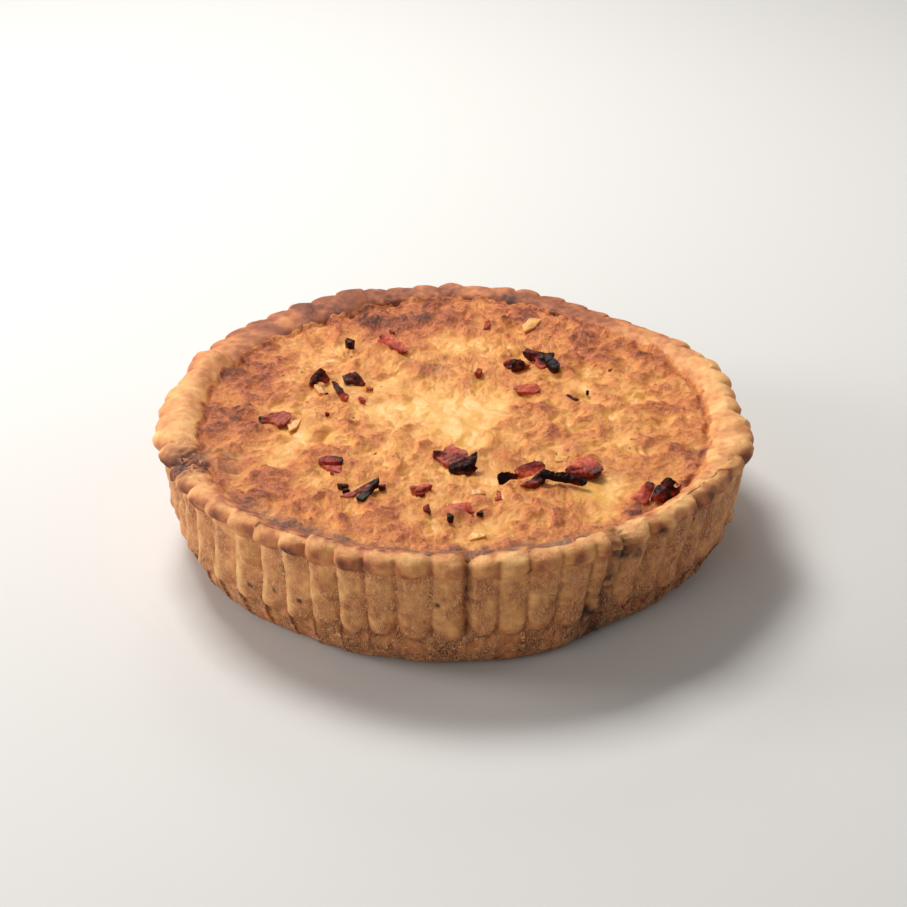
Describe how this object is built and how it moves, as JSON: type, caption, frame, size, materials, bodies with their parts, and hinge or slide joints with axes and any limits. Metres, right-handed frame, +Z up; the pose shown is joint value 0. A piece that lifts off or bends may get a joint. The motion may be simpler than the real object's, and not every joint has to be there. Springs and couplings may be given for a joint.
{
  "type": "bacon quiche",
  "caption": "Whole round deep quiche: a fluted golden pastry case filled with browned egg custard, with pieces of bacon and leek lying in its top.",
  "frame": {"origin": "middle of the flat base, on the surface that the quiche stands on", "axes": "+Z up, out of the custard; -Y towards the side of the rim with the lapped fold and the deep nick, called the front; +X to the right of it"},
  "size_m": [0.2008, 0.2, 0.0472],
  "materials": {
    "pastry": "baked shortcrust pastry, golden brown, dry and slightly rough",
    "custard": "baked egg and cheese custard, yellow with browned patches, slightly moist",
    "bacon": "grilled smoked bacon, red to black brown, greasy sheen",
    "leek": "scorched green leek, dark, slight sheen"
  },
  "bodies": {
    "root": {"pastry_case": "pastry", "custard": "custard", "lardon_centre": "bacon", "lardon_left_flat": "bacon", "lardon_left_strip": "bacon", "leek_left": "leek", "lardon_long_strip": "bacon", "lardon_red_slab": "bacon", "lardon_char_hook": "bacon", "lardon_red_strip": "bacon", "lardon_salmon_slab": "bacon", "lardon_right_red": "bacon", "lardon_right_char": "bacon", "lardon_back_curl": "bacon", "lardon_back_strip": "bacon", "lardon_back_hook": "bacon", "lardon_left_peak": "bacon", "lardon_left_arch": "bacon", "lardon_left_sliver": "bacon", "lardon_pink_slice": "bacon", "lardon_pink_slab": "bacon", "lardon_pink_patch": "bacon"}
  },
  "joints": []
}
